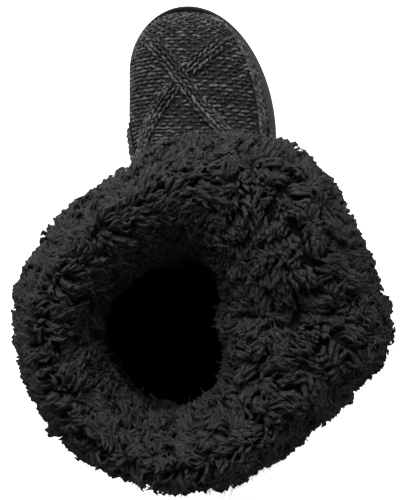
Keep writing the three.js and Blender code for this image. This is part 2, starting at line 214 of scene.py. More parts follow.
SOLE_COLUMNS = 96
RIM_SHIFT = {"inner": -0.4, "outer": 2.8}
# The sole's section, from under its middle round its side to the seat: share of the way out, inset,
# height, and share of the rim's shift, as the rim is broad on the outer side and narrow on the inner
SOLE_SECTION = [
    (0, 3.6, 0, 0),
    (0.5, 3.6, 0, 0),
    (1, 3.6, 0, 0),
    (1, 2.9, 0.6, 0),
    (1, 1.5, 4, 0),
    (1, 1.7, 4.5, 0),
    (1, 2.5, 4.8, 0),
    (1, 2.5, 5.9, 0),
    (1, 1.2, 6.2, 0),
    (1, 0.6, 6.8, 0),
    (1, 0.05, 9, 0),
    (1, 0, 11, 0),
    (1, 0.15, 13.5, 0),
    (1, 0.5, 15, 0),
    (1, 0.9, 15.5, 0),
    (1, 1.6, 15.5, 1),
    (1, 2, 15.1, 1),
    (1, 5, 10, 1),
    (0.5, 5, 10, 1),
    (0, 5, 10, 1),
]
SHARP_ANGLE = 40
TREAD_DEPTH = 2.6
TREAD_WIDTH = 4.2
TREAD_CHEVRON = 7
TREAD_REACH = 70
TREAD_FROM = -10
TREAD_STATIONS = [14, 26, 50, 64, 154, 168, 182, 196, 210, 224, 238]
MERGE_REACH = 0.001


def ease(value):
    value = np.clip(value, 0, 1)
    return value * value * (3 - 2 * value)


def mix(low, high, share):
    return low + (high - low) * share


def toe_lift(station):
    past = np.clip((station - TOE_BREAK_STATION) / (SOLE_LENGTH - TOE_BREAK_STATION), 0, None)
    return TOE_SPRING * past**2


def arch_lift(station):
    share = np.clip((station - ARCH_FROM) / (ARCH_TO - ARCH_FROM), 0, 1)
    return ARCH_RISE * np.sin(np.pi * share) ** 2


def sole_edge(edge, station, inset, end_inset):
    """How far the sole's edge lies from the long axis: a round heel, an eased waist and ball, a round toe."""
    heel, waist, ball = (edge["sign"] * (edge[key] - inset) for key in ("heel", "waist", "ball"))
    toe_start = SOLE_LENGTH - edge["toe_arc"]
    toe_share = np.clip((station - toe_start) / (edge["toe_arc"] - end_inset), 0, 1)
    toe = TIP_X + (ball - TIP_X) * np.sqrt(1 - toe_share**2)
    heel_share = np.clip((edge["heel_arc"] - station) / (edge["heel_arc"] - end_inset), 0, 1)
    back = heel * np.sqrt(1 - heel_share**2)
    to_waist = mix(heel, waist, ease((station - edge["heel_arc"]) / (WAIST_STATION - edge["heel_arc"])))
    to_ball = mix(waist, ball, ease((station - WAIST_STATION) / (edge["ball_at"] - WAIST_STATION)))
    middle = np.where(station < WAIST_STATION, to_waist, to_ball)
    return np.where(station > toe_start, toe, np.where(station < edge["heel_arc"], back, middle))


def grid_piece(name, rows, columns, place, wrapped=True):
    """A grid of rows by columns, each vertex put where place(row, column) says, closed round its columns."""
    bm = bmesh.new()
    bmesh.ops.create_grid(bm, x_segments=columns, y_segments=rows, size=1)
    mesh = bpy.data.meshes.new(name)
    bm.to_mesh(mesh)
    flat = np.empty(len(mesh.vertices) * 3)
    mesh.vertices.foreach_get("co", flat)
    flat = flat.reshape(-1, 3)
    row = np.rint((flat[:, 1] + 1) / 2 * rows).astype(int)
    column = np.rint((flat[:, 0] + 1) / 2 * columns).astype(int)
    points = place(row, column % columns if wrapped else column)
    mesh.vertices.foreach_set("co", (points * MM).ravel())
    bm.clear()
    bm.from_mesh(mesh)
    bmesh.ops.remove_doubles(bm, verts=bm.verts, dist=MERGE_REACH * MM)
    bmesh.ops.recalc_face_normals(bm, faces=bm.faces)
    bm.to_mesh(mesh)
    bm.free()
    mesh.shade_smooth()
    made = bpy.data.objects.new(name, mesh)
    scene.collection.objects.link(made)
    return made


def applied(made):
    """The piece with its modifiers made part of its mesh."""
    graph = bpy.context.evaluated_depsgraph_get()
    mesh = bpy.data.meshes.new_from_object(made.evaluated_get(graph))
    made.modifiers.clear()
    made.data = mesh
    return made


def sole_point(row, column):
    share, inset, height, rim = (np.array(values)[row] for values in zip(*SOLE_SECTION))
    on_outer = column <= SOLE_COLUMNS
    step = np.where(on_outer, column, 2 * SOLE_COLUMNS - column) / SOLE_COLUMNS
    station = mix(inset, SOLE_LENGTH - inset, (1 - np.cos(np.pi * step)) / 2)
    outer = sole_edge(OUTER_EDGE, station, inset + rim * RIM_SHIFT["outer"], inset)
    inner = sole_edge(INNER_EDGE, station, inset + rim * RIM_SHIFT["inner"], inset)
    x = mix((outer + inner) / 2, np.where(on_outer, outer, inner), share)
    z = height + toe_lift(station) + np.where(height < SOLE_TOP / 2, arch_lift(station), 0)
    return np.stack([x, station - HEEL_SET_BACK, z], axis=1)


def chevron_cutter(station):
    bm = bmesh.new()
    bend = [(-TREAD_REACH, -TREAD_CHEVRON), (0, TREAD_CHEVRON), (TREAD_REACH, -TREAD_CHEVRON)]
    line = [(x, y - TREAD_WIDTH / 2) for x, y in bend] + [(x, y + TREAD_WIDTH / 2) for x, y in bend[::-1]]
    middle = station - HEEL_SET_BACK
    face = bm.faces.new([bm.verts.new((x * MM, (middle + y) * MM, TREAD_FROM * MM)) for x, y in line])
    raised = bmesh.ops.extrude_face_region(bm, geom=[face])["geom"]
    rise = TREAD_DEPTH + toe_lift(station) - TREAD_FROM
    corners = [part for part in raised if isinstance(part, bmesh.types.BMVert)]
    bmesh.ops.translate(bm, verts=corners, vec=(0, 0, rise * MM))
    bmesh.ops.recalc_face_normals(bm, faces=bm.faces)
    mesh = bpy.data.meshes.new("chevron")
    bm.to_mesh(mesh)
    bm.free()
    return bpy.data.objects.new("chevron", mesh)


outsole = grid_piece("outsole_rubber", len(SOLE_SECTION) - 1, 2 * SOLE_COLUMNS, sole_point)
cutters = [chevron_cutter(station) for station in TREAD_STATIONS]
for cutter in cutters:
    scene.collection.objects.link(cutter)
    cut = outsole.modifiers.new("tread", "BOOLEAN")
    cut.object = cutter
    cut.solver = "EXACT"
applied(outsole)
for cutter in cutters:
    bpy.data.objects.remove(cutter)
outsole.data.set_sharp_from_angle(angle=math.radians(SHARP_ANGLE))

rubber, rubber_surface, spot = new_material("black_rubber", Specular_IOR_Level=0.1)
grain = noise(spot, 900.0, Detail=2.0)
scuff = noise(spot, 45.0, Detail=4.0, Roughness=0.7)
feed(
    rubber_surface,
    Base_Color=scuff.mixed(linear(36, 36, 37), linear(54, 54, 56)),
    Roughness=0.5 + 0.25 * scuff,
    Normal=(grain + 0.6 * scuff).bump(0.35, 0.0004),
)
outsole.data.materials.clear()
outsole.data.materials.append(rubber)
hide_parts("outsole")
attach(outsole, "root")

# Insole: a board covered in short black fleece, laid loose on the seat of the sole.
# It shows only as a dark floor at the bottom of the shaft.
INSOLE_THICKNESS = 3.5
INSOLE_INSET = {"inner": 5.4, "outer": 7.6, "toe": 9, "heel": 15}
INSOLE_HEEL_ROUND = 18
INSOLE_CROWN = 1.2
INSOLE_ROWS = 60
INSOLE_COLUMNS = 16
FLOOR_GAP = 0.3


def insole_point(row, column):
    share = (1 - np.cos(np.pi * row / INSOLE_ROWS)) / 2
    station = mix(INSOLE_INSET["heel"], SOLE_LENGTH - INSOLE_INSET["toe"], share)
    wide = np.sqrt(np.clip((station - INSOLE_INSET["heel"]) / INSOLE_HEEL_ROUND, 0, 1))
    inner = sole_edge(INNER_EDGE, station, INSOLE_INSET["inner"], INSOLE_INSET["toe"]) * wide
    outer = sole_edge(OUTER_EDGE, station, INSOLE_INSET["outer"], INSOLE_INSET["toe"]) * wide
    across = column / INSOLE_COLUMNS
    crown = INSOLE_CROWN * np.sin(np.pi * across) * wide
    base = SOLE_TOP + FLOOR_GAP + INSOLE_THICKNESS - INSOLE_CROWN
    z = base + toe_lift(station) + crown
    return np.stack([mix(inner, outer, across), station - HEEL_SET_BACK, z], axis=1)


insole = grid_piece("insole_fleece", INSOLE_ROWS, INSOLE_COLUMNS, insole_point, wrapped=False)
if insole.data.polygons[INSOLE_COLUMNS * INSOLE_ROWS // 2].normal.z < 0:
    insole.data.flip_normals()
board = insole.modifiers.new("board", "SOLIDIFY")
board.thickness = (INSOLE_THICKNESS - INSOLE_CROWN) * MM
board.offset = -1
applied(insole)


def fleece_material(name, dark, light):
    fleece, fleece_surface, spot = new_material(name, Specular_IOR_Level=0.1)
    curl = noise(spot, 240.0, Detail=4.0, Roughness=0.65)
    nap = spot.node("ShaderNodeTexVoronoi", Vector=spot, Scale=310.0)
    feed(
        fleece_surface,
        Base_Color=curl.mixed(dark, light),
        Roughness=0.85 + 0.15 * curl,
        Normal=(curl + 0.5 * nap).bump(0.9, 0.002),
    )
    return fleece


insole.data.materials.append(fleece_material("black_fleece", linear(14, 14, 16), linear(34, 34, 37)))
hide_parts("insole")
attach(insole, "root")

# Upper: vamp and shaft knitted whole in thick marl yarn, lined with short fleece and lasted into the sole.
# Its ground is purl rows across the foot, and a trellis of raised cables runs over it.
# This piece is the wall under the yarn, with soft folds where the shaft slumps on the ankle.
BALL_STATION = 182
BALL_AXIS = -16
SHAFT_Y = 29
UPPER_WALL = 3
BASE_HEIGHT = 2
EDGE_INSET = {"inner": 1.2, "outer": 5.4, "tip": 3}
TOE_BOX = {"height": 40, "run": 40, "roundness": 2.4, "slope": 0.22}
TOE_SHAPE = {"widest": 0.36, "crown": 2.2, "base": 4.5}
TOE_ANGLES = [8, 20, 32, 45, 58, 74, 90]
# Sections behind the ball: front station and height, back station and height, reach on the inner and
# the outer side, long axis, where the section is widest, and the roundness of its crown and its base
LAST = [
    (158, 70, 140, 2, 43, 45, -15, 0.38, 2.2, 4),
    (143, 85, 92, 2, 39, 41, -11, 0.44, 2.2, 3.2),
    (134, 101, 40, 3, 40, 41, -6, 0.5, 2.1, 2.6),
    (129.5, 117, 10, 13, 43, 43, -2, 0.5, 2, 2.15),
    (127.5, 134, 3, 48, 46, 46, 0, 0.5, 2, 2),
    (126.5, 153, 8, 92, 50, 50, 0, 0.5, 2, 2),
    (126.5, 174, 11, 133, 53.5, 53.5, 0, 0.5, 2, 2),
    (127, 203, 11, 184, 56.5, 56.5, 0, 0.5, 2, 2),
    (127, 233, 11, 227, 57.5, 57.5, 0, 0.5, 2, 2),
    (127, 262, 11, 262, 57.5, 57.5, 0, 0.5, 2, 2),
]
SECTION_POINTS = 81
TRELLIS_COLUMNS = 48
TRELLIS_PITCH = 16
FIRST_CROSS = 20
FIRST_COURSE = 12
# Ropes fade in above the sole and out under the cuff, and over a few courses at the toe
ROPE_FADE = {"low": 23, "high": 186, "run": 6, "courses": 3}
ROPE_RAISE = 2.4
ROPE_HALF_WIDTH = 4.6
# Height of a course in columns, by the place along the last
COURSE_RATIOS = [(0, 1.8), (2.2, 0.86), (4, 0.86), (5, 1.25), (10, 1.5), (13.3, 1.5), (13.5, 4)]
PLACE_STEP = 0.02
KNIT_STEP = 0.04
KNIT_HALF = 96
GROUND_SUNK = 1.4
# Folds of the slack knit round the ankle: place along the shaft, column, breadth each way, depth
FOLDS = [
    (9.0, 0, 0.5, 9, 2.2),
    (10.6, 3, 0.5, 10, 1.6),
    (11.7, -8, 0.4, 7, 1.2),
    (10.2, 20, 0.5, 6, 1.2),
]
FOLD_SLANT = 0.02
WALL_ROWS = 150
WALL_COLUMNS = 104
SEAT_CONTACT = 0.001
TINY = 1e-9
ROW_MARGIN = 0.001


def toe_section(angle):
    tip = SOLE_LENGTH - EDGE_INSET["tip"]
    behind = (tip - BALL_STATION) * (1 - math.cos(math.radians(angle)))
    station = np.float64(tip - behind)
    dome = 1 - min(1, behind / TOE_BOX["run"])
    crown = (1 - dome ** TOE_BOX["roundness"]) ** (1 / TOE_BOX["roundness"])
    low = BASE_HEIGHT + toe_lift(station)
    top = low + TOE_BOX["height"] * crown + TOE_BOX["slope"] * behind
    inner = -sole_edge(INNER_EDGE, station, EDGE_INSET["inner"], EDGE_INSET["tip"])
    outer = sole_edge(OUTER_EDGE, station, EDGE_INSET["outer"], EDGE_INSET["tip"])
    axis = mix(TIP_X, BALL_AXIS, behind / (tip - BALL_STATION))
    return (station, top, station, low, inner, outer, axis, *TOE_SHAPE.values())


sections = np.array([toe_section(angle) for angle in TOE_ANGLES] + LAST, dtype=float)


def smooth_rows(rows, places):
    """Rows of numbers at places between them, on a smooth curve through all of them."""
    low = np.minimum(np.floor(places).astype(int), len(rows) - 2)
    t = (places - low).reshape(-1, *[1] * (rows.ndim - 1))
    before, a, b, after = (rows[np.clip(low + k, 0, len(rows) - 1)] for k in (-1, 0, 1, 2))
    slope_a, slope_b = (b - before) / 2, (after - a) / 2
    cubic = 2 * a - 2 * b + slope_a + slope_b
    square = 3 * b - 3 * a - 2 * slope_a - slope_b
    return ((cubic * t + square) * t + slope_a) * t + a


def lengths(vectors):
    return np.linalg.norm(vectors, axis=-1)


def summed(steps):
    return np.concatenate([[0], np.cumsum(steps)])


def half_section(row, sign, steps):
    front_s, front_z, back_s, back_z, inner, outer, axis, widest, crown, base = row
    turn = np.linspace(0, np.pi, SECTION_POINTS)
    upper = turn < np.pi / 2
    power = 2 / np.where(upper, crown, base)
    along = np.abs(np.cos(turn)) ** power
    share = np.where(upper, widest + (1 - widest) * along, widest * (1 - along))
    x = axis + ((-inner if sign < 0 else outer) - axis) * np.abs(np.sin(turn)) ** power
    curve = np.stack([x, mix(back_s, front_s, share) - HEEL_SET_BACK, mix(back_z, front_z, share)], axis=1)
    run = summed(lengths(np.diff(curve, axis=0)))
    even = np.linspace(0, run[-1], steps + 1)
    return np.stack([np.interp(even, run, curve[:, c]) for c in range(3)], axis=1)


def rings(places, half_columns):
    """Rings of the last: from the front down the outer side to the back, and up the inner side."""
    made = []
    for row in smooth_rows(sections, places):
        outer = half_section(row, 1, half_columns)
        inner = half_section(row, -1, half_columns)
        made.append(np.concatenate([outer, inner[-2:0:-1]]))
    return np.array(made)


def course_places():
    """Places along the last, and the count of courses and the length of the front up to each."""
    places = np.arange(0, len(sections) - 1 + TINY, PLACE_STEP)
    ring = rings(places, TRELLIS_COLUMNS // 2)
    front = np.arange(-TRELLIS_COLUMNS // 4, TRELLIS_COLUMNS // 4 + 1)
    moved = lengths(np.diff(ring, axis=0))[:, front].mean(axis=1)
    column = lengths(ring[1:, 1] - ring[1:, 0])
    ratio = np.interp(places[1:], *zip(*COURSE_RATIOS))
    return places, summed(moved / column / ratio), summed(moved)


PLACE, COURSE, FRONT_RUN = course_places()
knit_places = np.arange(0, len(sections) - 1 + TINY, KNIT_STEP)
knit_rings = rings(knit_places, KNIT_HALF)


def unit(vectors):
    return vectors / np.maximum(lengths(vectors)[..., None], TINY)


along_grid = np.gradient(knit_rings, KNIT_STEP, axis=0)
round_grid = (np.roll(knit_rings, -1, axis=1) - np.roll(knit_rings, 1, axis=1)) / 2
normal_grid = unit(np.cross(along_grid, round_grid))
column_grid = np.arange(2 * KNIT_HALF) * TRELLIS_COLUMNS / (2 * KNIT_HALF)
column_grid = np.where(column_grid > TRELLIS_COLUMNS / 2, column_grid - TRELLIS_COLUMNS, column_grid)
course_grid = np.interp(knit_places, PLACE, COURSE)[:, None] + 0 * column_grid
course_rate = np.gradient(np.interp(knit_places, PLACE, COURSE), KNIT_STEP)[:, None]
course_high = lengths(along_grid) / course_rate
column_wide = lengths(round_grid) * (2 * KNIT_HALF) / TRELLIS_COLUMNS


def from_rope(phase):
    """How far a course and column lie from the nearest rope of one family, in columns."""
    rope = np.maximum(np.rint((phase - FIRST_CROSS) / TRELLIS_PITCH), 0)
    return np.abs(phase - FIRST_CROSS - TRELLIS_PITCH * rope)


apart = np.minimum(from_rope(course_grid + column_grid), from_rope(course_grid - column_grid))
rope_distance = apart * course_high * column_wide / np.hypot(course_high, column_wide)
rope_shown = ease((knit_rings[:, :, 2] - ROPE_FADE["low"]) / ROPE_FADE["run"])
rope_shown *= ease((ROPE_FADE["high"] - knit_rings[:, :, 2]) / ROPE_FADE["run"])
rope_shown *= ease((course_grid - FIRST_COURSE) / ROPE_FADE["courses"])
raise_grid = ROPE_RAISE * np.exp(-((rope_distance / ROPE_HALF_WIDTH) ** 2)) * rope_shown
for fold_place, fold_column, fold_run, fold_spread, fold_depth in FOLDS:
    aside = (column_grid - fold_column + TRELLIS_COLUMNS / 2) % TRELLIS_COLUMNS - TRELLIS_COLUMNS / 2
    slant = fold_place + FOLD_SLANT * aside
    dip = np.exp(-(((knit_places[:, None] - slant) / fold_run) ** 2) - (aside / fold_spread) ** 2)
    raise_grid = raise_grid - fold_depth * dip
knit_surface = knit_rings + normal_grid * raise_grid[:, :, None]


def sampled(grid, row, column):
    """A grid's value between its rows and columns, with the columns closed into a ring."""
    row = np.clip(row, 0, len(grid) - 1 - ROW_MARGIN)
    r, c = np.floor(row).astype(int), np.floor(column).astype(int)
    extra = [1] * (grid.ndim - 2)
    tr, tc = (row - r).reshape(-1, *extra), (column - c).reshape(-1, *extra)
    c0, c1 = c % grid.shape[1], (c + 1) % grid.shape[1]
    low = grid[r, c0] * (1 - tc) + grid[r, c1] * tc
    high = grid[r + 1, c0] * (1 - tc) + grid[r + 1, c1] * tc
    return low * (1 - tr) + high * tr


def seat_height(y):
    return SOLE_TOP + FLOOR_GAP + toe_lift(y + HEEL_SET_BACK)


def wall_point(row, column):
    place = np.interp(row / WALL_ROWS * FRONT_RUN[-1], FRONT_RUN, PLACE)
    at = (place / KNIT_STEP, column * 2 * KNIT_HALF / WALL_COLUMNS)
    points = sampled(knit_surface, *at) - GROUND_SUNK * sampled(normal_grid, *at)
    points[:, 2] = np.maximum(points[:, 2], seat_height(points[:, 1]))
    return points


def on_seat(face):
    return all(v.co.z / MM < seat_height(v.co.y / MM) + SEAT_CONTACT for v in face.verts)


upper = grid_piece("upper_wall", WALL_ROWS, WALL_COLUMNS, wall_point)
bm = bmesh.new()
bm.from_mesh(upper.data)
bmesh.ops.delete(bm, geom=[face for face in bm.faces if on_seat(face)], context="FACES")
bm.to_mesh(upper.data)
bm.free()
collar_face = upper.data.polygons[len(upper.data.polygons) - WALL_COLUMNS // 2]
outward = Vector((collar_face.center.x, collar_face.center.y - SHAFT_Y * MM, 0))
if collar_face.normal.dot(outward) < 0:
    upper.data.flip_normals()
wall = upper.modifiers.new("wall", "SOLIDIFY")
wall.thickness = (UPPER_WALL - GROUND_SUNK) * MM
wall.offset = -1
wall.material_offset = 1
applied(upper)

# The wall is dark yarn under the bars, painted darker still as the shade in the gaps between them and under
# the cables.
ground, ground_surface, spot = new_material("knit_ground_painted_shade", Specular_IOR_Level=0.1)
shadow = noise(spot, 520.0, Detail=3.0)
feed(
    ground_surface,
    Base_Color=(shadow * 2.4 - 0.8).mixed(linear(5, 5, 6), linear(36, 36, 38)),
    Roughness=0.85 + 0.1 * shadow,
    Normal=shadow.bump(0.8, 0.001),
)
upper.data.materials.append(ground)
upper.data.materials.append(fleece_material("lining_fleece", linear(10, 10, 12), linear(26, 26, 29)))
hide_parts("upper")
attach(upper, "root")

# Purl ground: each stitch of reverse knitting shows as a short bar of yarn across the foot.
# Bars lie in rows, every second row half a stitch to the side, and the marl yarn gives each its own tone.
STITCH_PITCH = 7.2
ROW_PITCH = 2.7
# Rows part in two or join in pairs, by powers of two, so lines are laid a quarter of a row apart
ROW_PARTS = 4
ROW_LEVELS = (-1, 0, 1, 2)
FIRST_LINE = 6
BAR_LENGTH = 0.98
BAR_SHARE = 0.78
BAR_HEIGHT = 1.15
BAR_HEIGHT_RANGE = (0.7, 1.2)
BAR_ARCH = 1.3
BAR_SUNK = 0.7
BAR_ASTRAY = (-0.16, 0.16)
BAR_TILT = 0.14
BAR_SIZES = (0.75, 1.15)
ROPE_CLEAR = 5.0
ROPE_FULL = 0.85
RIB_COLUMN = 9.6
RIB_FROM = 0.4
RIB_TO_COURSE = 26
RIB_CLEAR = 3.9
FAR = 99
KNIT_FROM_SEAT = 1.5
KNIT_TOP = 205
YARN_SIDES = 6
# A bar's rings: how far along it from its middle, and how thick there
YARN_RINGS = [(-0.66, 0.74), (0.0, 1.0), (0.66, 0.74)]
YARN_ENDS = (-1, 1)
PLY_RUN = 4.2
PLY_STARTS = 6
MARL_TONES = (1.3, 2.9)
SEED = 5
chance = np.random.default_rng(SEED)


def array_piece(name, points, triangles, material, **attributes):
    """Many small like shapes, joined into one mesh. Attributes hold a number, or three, for each point."""
    mesh = bpy.data.meshes.new(name)
    mesh.vertices.add(len(points))
    mesh.vertices.foreach_set("co", (points * MM).ravel())
    mesh.loops.add(triangles.size)
    mesh.loops.foreach_set("vertex_index", triangles.ravel().astype(np.int32))
    mesh.polygons.add(len(triangles))
    mesh.polygons.foreach_set("loop_start", np.arange(0, triangles.size, 3, dtype=np.int32))
    mesh.update(calc_edges=True)
    mesh.shade_smooth()
    for key, values in attributes.items():
        kind, field = ("FLOAT", "value") if values.ndim == 1 else ("FLOAT_VECTOR", "vector")
        mesh.attributes.new(key, kind, "POINT").data.foreach_set(field, values.ravel().astype(np.float32))
    mesh.materials.append(material)
    made = bpy.data.objects.new(name, mesh)
    scene.collection.objects.link(made)
    return made


def sausage(shape_rings, sides, ends):
    """A closed sausage: how far along, across and up its points lie, the ends last, and its triangles."""
    turn = np.arange(sides) * 2 * np.pi / sides
    along = np.concatenate([np.full(sides, s) for s, _ in shape_rings] + [ends])
    across = np.concatenate([r * np.cos(turn) for _, r in shape_rings] + [[0, 0]])
    up = np.concatenate([r * np.sin(turn) for _, r in shape_rings] + [[0, 0]])
    quads = []
    for ring in range(len(shape_rings) - 1):
        for side in range(sides):
            a, b = ring * sides + side, ring * sides + (side + 1) % sides
            quads += [(a, b, b + sides), (a, b + sides, a + sides)]
    first = len(shape_rings) * sides
    top = first - sides
    caps = [(first, (side + 1) % sides, side) for side in range(sides)]
    caps += [(first + 1, top + side, top + (side + 1) % sides) for side in range(sides)]
    return along, across, up, np.array(quads + caps)


def repeated(triangles, count, points):
    """The triangles of one shape, for count shapes with so many points each."""
    return (triangles[None] + np.arange(count)[:, None, None] * points).reshape(-1, 3)


yarn_along, yarn_across, yarn_up, yarn_triangles = sausage(YARN_RINGS, YARN_SIDES, YARN_ENDS)


def yarn_marl(half_length):
    """Tone of each bar, and where each of its points lies round and along the twisted yarn."""
    count = len(half_length)
    tone = np.repeat(chance.beta(*MARL_TONES, count), len(yarn_along))
    start = chance.uniform(0, PLY_STARTS, count)[:, None]
    along = yarn_along[None] * half_length[:, None] / PLY_RUN * 2 * np.pi + start
    around = [np.broadcast_to(side, along.shape) for side in (yarn_across, yarn_up)]
    return {"tone": tone, "ply": np.stack([*around, along], axis=2).reshape(-1, 3)}


def spread(amount, direction):
    """Amounts for the points of each shape, along that shape's direction."""
    return amount[:, :, None] * direction[:, None]


def yarn_bars(middle, way, up, half_length, half_width, half_height, arch):
    """Points and triangles of short bars of yarn that lie along way and arch away from up at their ends."""
    lift = yarn_up[None] * half_height[:, None] - arch * yarn_along[None] ** 2
    points = middle[:, None] + spread(yarn_along[None] * half_length[:, None], way)
    points = points + spread(yarn_across[None] * half_width[:, None], np.cross(up, way))
    points = points + spread(lift, up)
    return points.reshape(-1, 3), repeated(yarn_triangles, len(middle), len(yarn_along))


def purl_places():
    """Row and column of each bar and its row's height, in rows that part and join where the form widens."""
    part = ROW_PITCH / ROW_PARTS
    found = []
    for line in range(FIRST_LINE, int(FRONT_RUN[-1] / part)):
        before, place, after = np.interp(np.array([line - 0.5, line, line + 0.5]) * part, FRONT_RUN, PLACE)
        ring = int(round(place / KNIT_STEP))
        count = int(lengths(round_grid[ring]).sum() / STITCH_PITCH)
        for level in ROW_LEVELS:
            stride = int(ROW_PARTS / 2**level)
            if line % stride:
                continue
            offset = (line // stride) % 2 / 2
            stitch = np.arange(count) + offset + chance.uniform(*BAR_ASTRAY, count)
            column = stitch / count * 2 * KNIT_HALF
            at = (np.full(count, place / KNIT_STEP), column)
            row_high = lengths(sampled(along_grid, *at)) * (after - before) * ROW_PARTS
            fitting = np.rint(np.log2(np.maximum(row_high, 0.1) / ROW_PITCH))
            right = np.clip(fitting, ROW_LEVELS[0], ROW_LEVELS[-1]) == level
            found.append(np.stack([at[0], column, row_high * stride / ROW_PARTS], axis=1)[right])
    return np.concatenate(found)


bars = purl_places()
bar_at = (bars[:, 0], bars[:, 1])
bar_points = sampled(knit_surface, *bar_at)
clear = sampled(np.where(rope_shown > ROPE_FULL, rope_distance, FAR), *bar_at) > ROPE_CLEAR
from_rib = np.abs(column_grid - RIB_COLUMN) * column_wide
from_rib = np.where((course_grid < RIB_TO_COURSE) & (knit_places[:, None] > RIB_FROM), from_rib, FAR)
clear &= sampled(from_rib, *bar_at) > RIB_CLEAR
above = bar_points[:, 2] - seat_height(bar_points[:, 1])
shown = clear & (above > KNIT_FROM_SEAT) & (bar_points[:, 2] < KNIT_TOP)
bars, bar_points = bars[shown], bar_points[shown]
bar_at = (bars[:, 0], bars[:, 1])
bar_up = unit(sampled(normal_grid, *bar_at))
bar_way = unit(sampled(round_grid, *bar_at))
tilt = chance.normal(0, BAR_TILT, len(bars))[:, None]
bar_way = unit(bar_way + tilt * np.cross(bar_up, bar_way))
bar_size = chance.uniform(*BAR_SIZES, len(bars))
bar_half = 0.5 * STITCH_PITCH * BAR_LENGTH * bar_size
bar_mesh = yarn_bars(
    bar_points - BAR_SUNK * bar_up,
    bar_way,
    bar_up,
    bar_half,
    0.5 * BAR_SHARE * bars[:, 2] * bar_size,
    BAR_HEIGHT * np.clip(bars[:, 2] / ROW_PITCH, *BAR_HEIGHT_RANGE),
    BAR_ARCH,
)

marl, marl_surface, spot = new_material("marl_yarn", Specular_IOR_Level=0.15)
tone = spot.attribute("tone")
ply = spot.attribute("ply", "Vector")
ply_across, ply_up, ply_along = (spot.node("ShaderNodeSeparateXYZ", output=k, Vector=ply) for k in range(3))
twist = noise(spot, 620.0, Detail=3.0, Roughness=0.65)
fibre = noise(spot, 1700.0, Detail=2.0)
plies = spot.math("SINE", spot.math("ARCTAN2", ply_up, ply_across) + ply_along)
marled = tone * 0.75 + plies * 0.16 + (twist - 0.5) * 0.7
feed(
    marl_surface,
    Base_Color=marled.mixed(linear(21, 21, 21), linear(94, 94, 94)),
    Roughness=0.8 + 0.15 * twist,
    Normal=(plies * 0.5 + twist * 0.4 + fibre * 0.5).bump(0.6, 0.0005),
)
purl = array_piece("upper_purl_rows", *bar_mesh, marl, **yarn_marl(bar_half))
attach(purl, "root")

# Cables: raised ropes of plain stitches that slant over the purl ground and cross in a trellis.
# Each rope is two stitches wide, and each stitch shows as two slanted legs of yarn that meet in a V.
# A flat rib of the same stitches runs along the outer side of the foot, above the sole.
STITCH_RUN = 4.8
LEG_LENGTH = 6.8
LEG_SLANT = 0.26
LEG_WIDTH = 1.1
LEG_HEIGHT = 1.25
LEG_ARCH = 1.0
LEG_ASTRAY = (-0.4, 0.4)
LEG_TILT = 0.08
LEG_SIZES = (0.8, 1.15)
# How far before and behind a leg the path is looked at for its direction
LEG_LOOK = 2
# Lanes: how far from the middle, which way the legs slant, how much lower than the middle
ROPE_LANES = [(-4.0, 1, 0.8), (-1.4, -1, 0.1), (1.4, 1, 0.1), (4.0, -1, 0.8)]
RIB_LANES = [(-2.5, 0.4, 0.3), (0, -0.4, 0), (2.5, 0.4, 0.3)]
ROPE_LIFT = 0.1
ROPES = 6
ROPE_STEP = 0.05
ROPE_FEWEST = 20
# Courses, and height over the sole, that a rope keeps from the ends of the knit
ROPE_KEEPS = {"toe": 2, "collar": 1, "sole": 1}
CROSS_REACH = 6.8
CROSS_LIFT = 1.3


def legs_along(path, up, lift, shown, lanes):
    """Middle, way and up of each leg of yarn on a path, lane by lane."""
    run = summed(lengths(np.diff(path, axis=0)))
    found = []
    for lane, (aside, slant, lower) in enumerate(lanes):
        stops = np.arange(lane % 2 * STITCH_RUN / 2 + STITCH_RUN, run[-1] - STITCH_RUN, STITCH_RUN)
        stops = stops + chance.uniform(*LEG_ASTRAY, len(stops))
        middle, leg_up, ahead, behind = (
            np.stack([np.interp(stops + step, run, values[:, c]) for c in range(3)], axis=1)
            for values, step in ((path, 0), (up, 0), (path, LEG_LOOK), (path, -LEG_LOOK))
        )
        leg_up = unit(leg_up)
        way = unit(ahead - behind)
        across = unit(np.cross(leg_up, way))
        way = unit(way + (slant * LEG_SLANT + chance.normal(0, LEG_TILT, (len(stops), 1))) * across)
        raised = np.interp(stops, run, lift) - lower
        middle = middle + across * aside + leg_up * raised[:, None]
        keep = np.interp(stops, run, shown.astype(float)) > 0.5
        found.append(np.concatenate([middle, way, leg_up], axis=1)[keep])
    return np.concatenate(found)


legs = []
for family in (1, -1):
    for rope in range(ROPES):
        column = np.arange(-TRELLIS_COLUMNS / 2, TRELLIS_COLUMNS / 2, ROPE_STEP)
        course = FIRST_CROSS + TRELLIS_PITCH * rope - family * column
        inside = (course > FIRST_COURSE + ROPE_KEEPS["toe"]) & (course < COURSE[-1] - ROPE_KEEPS["collar"])
        if inside.sum() < ROPE_FEWEST:
            continue
        column, course = column[inside], course[inside]
        at = (np.interp(course, COURSE, PLACE) / KNIT_STEP, column / TRELLIS_COLUMNS * 2 * KNIT_HALF)
        path, up = sampled(knit_surface, *at), unit(sampled(normal_grid, *at))
        step = lengths(np.gradient(path, column, axis=0))
        other = (course - family * column - FIRST_CROSS) / TRELLIS_PITCH
        nearest = np.rint(other)
        cross_run = np.abs(other - nearest) * TRELLIS_PITCH / 2 * step
        over = ((nearest + rope) % 2 == 0) == (family < 0)
        lift = ROPE_LIFT + np.where(over, CROSS_LIFT * np.exp(-((cross_run / CROSS_REACH) ** 2)), 0)
        shown = over | (cross_run > CROSS_REACH)
        shown &= (path[:, 2] > ROPE_FADE["low"] + ROPE_KEEPS["sole"]) & (path[:, 2] < KNIT_TOP)
        legs.append(legs_along(path, up, lift, shown, ROPE_LANES))
place = np.arange(RIB_FROM, np.interp(RIB_TO_COURSE, COURSE, PLACE), PLACE_STEP)
